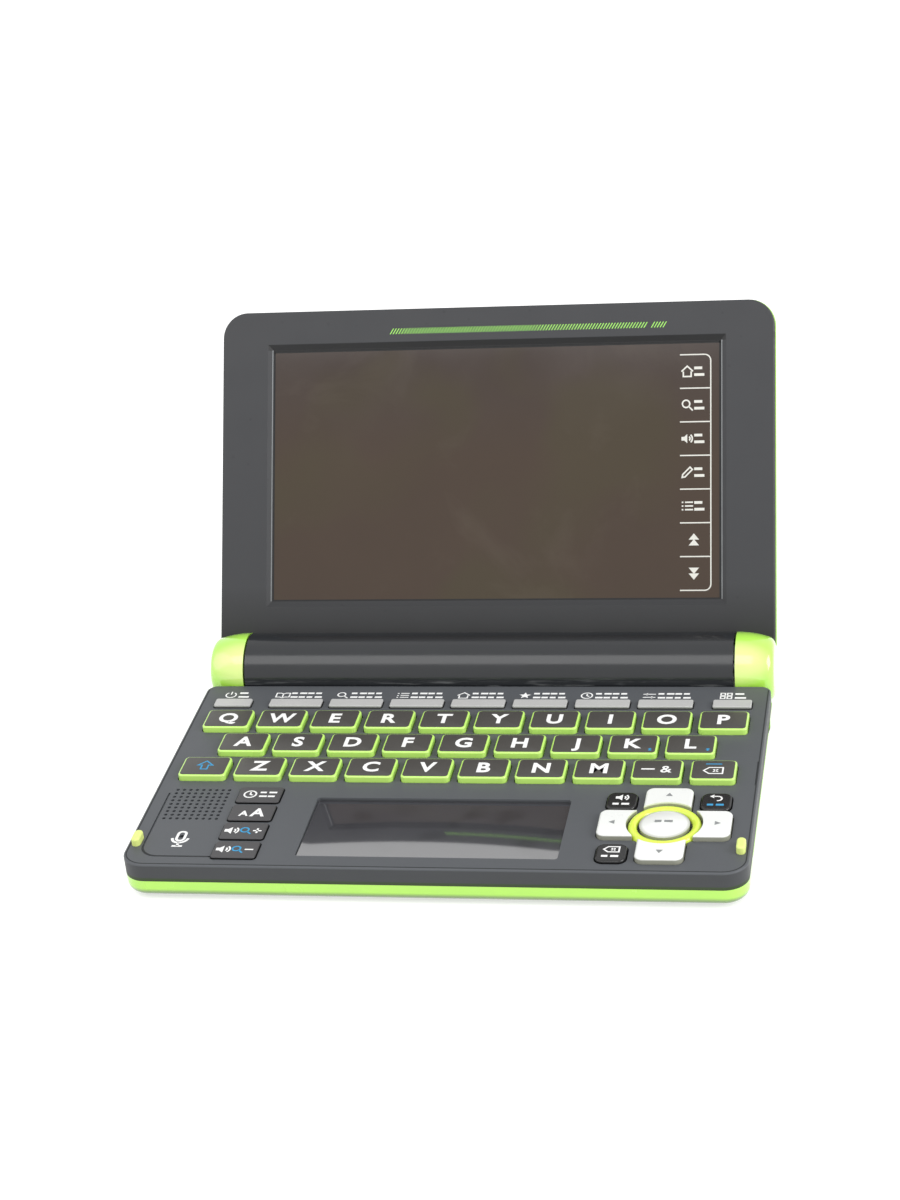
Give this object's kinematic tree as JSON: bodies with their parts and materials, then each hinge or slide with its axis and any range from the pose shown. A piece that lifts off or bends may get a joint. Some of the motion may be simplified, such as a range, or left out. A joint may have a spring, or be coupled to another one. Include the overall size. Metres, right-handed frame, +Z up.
{
  "type": "electronic dictionary",
  "caption": "Clamshell electronic dictionary with a green and dark grey shell, a barrel hinge, a letter keyboard, an arrow pad and a writing panel, lid open.",
  "frame": {"origin": "bottom centre of the open object's bounding box, on the plane its feet stand on", "axes": "+X to the user's right, +Y from the front edge to the hinge, +Z up"},
  "size_m": [0.148, 0.1496, 0.0914],
  "materials": {
    "green_shell": "gloss",
    "deck_plastic": "satin",
    "barrel_plastic": "gloss",
    "key_plastic": "satin",
    "silver_plastic": "satin",
    "black_rubber": "matte",
    "black_plastic": "matte",
    "steel": "satin",
    "cell_jacket": "satin",
    "board_laminate": "satin",
    "display_cell": "satin",
    "panel_glass": "gloss"
  },
  "bodies": {
    "base": {"lower_case": "green_shell", "upper_case": "deck_plastic", "battery_barrel": "barrel_plastic", "battery_cells": "cell_jacket", "battery_contacts": "steel", "main_board": "board_laminate", "key_mat": "black_rubber", "sub_window": "panel_glass", "sub_display": "display_cell", "speaker": "black_plastic", "nav_ring": "green_shell", "lid_bumpers": "green_shell", "rubber_feet": "black_rubber", "base_screws": "steel", "hinge_shafts": "steel"},
    "battery_door": {"battery_door": "barrel_plastic"},
    "stylus": {"stylus": "green_shell"},
    "lid": {"lid_back_cover": "green_shell", "lid_bezel": "deck_plastic", "display_window": "panel_glass", "display_panel": "display_cell", "hinge_caps": "green_shell", "hinge_knuckles": "steel", "lid_screws": "steel"},
    "key_shift": {"key_shift": "green_shell"},
    "key_z": {"key_z": "green_shell"},
    "key_x": {"key_x": "green_shell"},
    "key_c": {"key_c": "green_shell"},
    "key_v": {"key_v": "green_shell"},
    "key_b": {"key_b": "green_shell"},
    "key_n": {"key_n": "green_shell"},
    "key_m": {"key_m": "green_shell"},
    "key_dash": {"key_dash": "green_shell"},
    "key_delete": {"key_delete": "green_shell"},
    "key_a": {"key_a": "green_shell"},
    "key_s": {"key_s": "green_shell"},
    "key_d": {"key_d": "green_shell"},
    "key_f": {"key_f": "green_shell"},
    "key_g": {"key_g": "green_shell"},
    "key_h": {"key_h": "green_shell"},
    "key_j": {"key_j": "green_shell"},
    "key_k": {"key_k": "green_shell"},
    "key_l": {"key_l": "green_shell"},
    "key_q": {"key_q": "green_shell"},
    "key_w": {"key_w": "green_shell"},
    "key_e": {"key_e": "green_shell"},
    "key_r": {"key_r": "green_shell"},
    "key_t": {"key_t": "green_shell"},
    "key_y": {"key_y": "green_shell"},
    "key_u": {"key_u": "green_shell"},
    "key_i": {"key_i": "green_shell"},
    "key_o": {"key_o": "green_shell"},
    "key_p": {"key_p": "green_shell"},
    "arrow_right_key": {"arrow_right_key": "silver_plastic"},
    "arrow_up_key": {"arrow_up_key": "silver_plastic"},
    "arrow_left_key": {"arrow_left_key": "silver_plastic"},
    "arrow_down_key": {"arrow_down_key": "silver_plastic"},
    "enter_key": {"enter_key": "silver_plastic"},
    "function_keys": {"function_keys": "silver_plastic"},
    "small_keys": {"small_keys": "key_plastic"}
  },
  "joints": [
    {"name": "lid_hinge", "type": "hinge", "parent": "base", "child": "lid", "pos_m": [0, 0.02099, 0.00995], "axis": [-1, 0, 0], "range_deg": [-120, 30]},
    {"name": "battery_door_pull", "type": "slide", "parent": "base", "child": "battery_door", "axis": [0, 0, -1], "range_m": [0, 0.004]},
    {"name": "stylus_pull", "type": "slide", "parent": "base", "child": "stylus", "axis": [1, 0, 0], "range_m": [0, 0.006]},
    {"name": "key_shift_press", "type": "slide", "parent": "base", "child": "key_shift", "axis": [0, 0, -1], "range_m": [0, 0.0008], "stiffness_N_per_m": 450, "springref_m": -0.0004},
    {"name": "key_z_press", "type": "slide", "parent": "base", "child": "key_z", "axis": [0, 0, -1], "range_m": [0, 0.0008], "stiffness_N_per_m": 450, "springref_m": -0.0004},
    {"name": "key_x_press", "type": "slide", "parent": "base", "child": "key_x", "axis": [0, 0, -1], "range_m": [0, 0.0008], "stiffness_N_per_m": 450, "springref_m": -0.0004},
    {"name": "key_c_press", "type": "slide", "parent": "base", "child": "key_c", "axis": [0, 0, -1], "range_m": [0, 0.0008], "stiffness_N_per_m": 450, "springref_m": -0.0004},
    {"name": "key_v_press", "type": "slide", "parent": "base", "child": "key_v", "axis": [0, 0, -1], "range_m": [0, 0.0008], "stiffness_N_per_m": 450, "springref_m": -0.0004},
    {"name": "key_b_press", "type": "slide", "parent": "base", "child": "key_b", "axis": [0, 0, -1], "range_m": [0, 0.0008], "stiffness_N_per_m": 450, "springref_m": -0.0004},
    {"name": "key_n_press", "type": "slide", "parent": "base", "child": "key_n", "axis": [0, 0, -1], "range_m": [0, 0.0008], "stiffness_N_per_m": 450, "springref_m": -0.0004},
    {"name": "key_m_press", "type": "slide", "parent": "base", "child": "key_m", "axis": [0, 0, -1], "range_m": [0, 0.0008], "stiffness_N_per_m": 450, "springref_m": -0.0004},
    {"name": "key_dash_press", "type": "slide", "parent": "base", "child": "key_dash", "axis": [0, 0, -1], "range_m": [0, 0.0008], "stiffness_N_per_m": 450, "springref_m": -0.0004},
    {"name": "key_delete_press", "type": "slide", "parent": "base", "child": "key_delete", "axis": [0, 0, -1], "range_m": [0, 0.0008], "stiffness_N_per_m": 450, "springref_m": -0.0004},
    {"name": "key_a_press", "type": "slide", "parent": "base", "child": "key_a", "axis": [0, 0, -1], "range_m": [0, 0.0008], "stiffness_N_per_m": 450, "springref_m": -0.0004},
    {"name": "key_s_press", "type": "slide", "parent": "base", "child": "key_s", "axis": [0, 0, -1], "range_m": [0, 0.0008], "stiffness_N_per_m": 450, "springref_m": -0.0004},
    {"name": "key_d_press", "type": "slide", "parent": "base", "child": "key_d", "axis": [0, 0, -1], "range_m": [0, 0.0008], "stiffness_N_per_m": 450, "springref_m": -0.0004},
    {"name": "key_f_press", "type": "slide", "parent": "base", "child": "key_f", "axis": [0, 0, -1], "range_m": [0, 0.0008], "stiffness_N_per_m": 450, "springref_m": -0.0004},
    {"name": "key_g_press", "type": "slide", "parent": "base", "child": "key_g", "axis": [0, 0, -1], "range_m": [0, 0.0008], "stiffness_N_per_m": 450, "springref_m": -0.0004},
    {"name": "key_h_press", "type": "slide", "parent": "base", "child": "key_h", "axis": [0, 0, -1], "range_m": [0, 0.0008], "stiffness_N_per_m": 450, "springref_m": -0.0004},
    {"name": "key_j_press", "type": "slide", "parent": "base", "child": "key_j", "axis": [0, 0, -1], "range_m": [0, 0.0008], "stiffness_N_per_m": 450, "springref_m": -0.0004},
    {"name": "key_k_press", "type": "slide", "parent": "base", "child": "key_k", "axis": [0, 0, -1], "range_m": [0, 0.0008], "stiffness_N_per_m": 450, "springref_m": -0.0004},
    {"name": "key_l_press", "type": "slide", "parent": "base", "child": "key_l", "axis": [0, 0, -1], "range_m": [0, 0.0008], "stiffness_N_per_m": 450, "springref_m": -0.0004},
    {"name": "key_q_press", "type": "slide", "parent": "base", "child": "key_q", "axis": [0, 0, -1], "range_m": [0, 0.0008], "stiffness_N_per_m": 450, "springref_m": -0.0004},
    {"name": "key_w_press", "type": "slide", "parent": "base", "child": "key_w", "axis": [0, 0, -1], "range_m": [0, 0.0008], "stiffness_N_per_m": 450, "springref_m": -0.0004},
    {"name": "key_e_press", "type": "slide", "parent": "base", "child": "key_e", "axis": [0, 0, -1], "range_m": [0, 0.0008], "stiffness_N_per_m": 450, "springref_m": -0.0004},
    {"name": "key_r_press", "type": "slide", "parent": "base", "child": "key_r", "axis": [0, 0, -1], "range_m": [0, 0.0008], "stiffness_N_per_m": 450, "springref_m": -0.0004},
    {"name": "key_t_press", "type": "slide", "parent": "base", "child": "key_t", "axis": [0, 0, -1], "range_m": [0, 0.0008], "stiffness_N_per_m": 450, "springref_m": -0.0004},
    {"name": "key_y_press", "type": "slide", "parent": "base", "child": "key_y", "axis": [0, 0, -1], "range_m": [0, 0.0008], "stiffness_N_per_m": 450, "springref_m": -0.0004},
    {"name": "key_u_press", "type": "slide", "parent": "base", "child": "key_u", "axis": [0, 0, -1], "range_m": [0, 0.0008], "stiffness_N_per_m": 450, "springref_m": -0.0004},
    {"name": "key_i_press", "type": "slide", "parent": "base", "child": "key_i", "axis": [0, 0, -1], "range_m": [0, 0.0008], "stiffness_N_per_m": 450, "springref_m": -0.0004},
    {"name": "key_o_press", "type": "slide", "parent": "base", "child": "key_o", "axis": [0, 0, -1], "range_m": [0, 0.0008], "stiffness_N_per_m": 450, "springref_m": -0.0004},
    {"name": "key_p_press", "type": "slide", "parent": "base", "child": "key_p", "axis": [0, 0, -1], "range_m": [0, 0.0008], "stiffness_N_per_m": 450, "springref_m": -0.0004},
    {"name": "arrow_right_key_press", "type": "slide", "parent": "base", "child": "arrow_right_key", "axis": [0, 0, -1], "range_m": [0, 0.0008], "stiffness_N_per_m": 450, "springref_m": -0.0004},
    {"name": "arrow_up_key_press", "type": "slide", "parent": "base", "child": "arrow_up_key", "axis": [0, 0, -1], "range_m": [0, 0.0008], "stiffness_N_per_m": 450, "springref_m": -0.0004},
    {"name": "arrow_left_key_press", "type": "slide", "parent": "base", "child": "arrow_left_key", "axis": [0, 0, -1], "range_m": [0, 0.0008], "stiffness_N_per_m": 450, "springref_m": -0.0004},
    {"name": "arrow_down_key_press", "type": "slide", "parent": "base", "child": "arrow_down_key", "axis": [0, 0, -1], "range_m": [0, 0.0008], "stiffness_N_per_m": 450, "springref_m": -0.0004},
    {"name": "enter_key_press", "type": "slide", "parent": "base", "child": "enter_key", "axis": [0, 0, -1], "range_m": [0, 0.0008], "stiffness_N_per_m": 450, "springref_m": -0.0004},
    {"name": "function_keys_press", "type": "slide", "parent": "base", "child": "function_keys", "axis": [0, 0, -1], "range_m": [0, 0.0005], "stiffness_N_per_m": 900, "springref_m": -0.0004},
    {"name": "small_keys_press", "type": "slide", "parent": "base", "child": "small_keys", "axis": [0, 0, -1], "range_m": [0, 0.0004], "stiffness_N_per_m": 900, "springref_m": -0.0004}
  ]
}
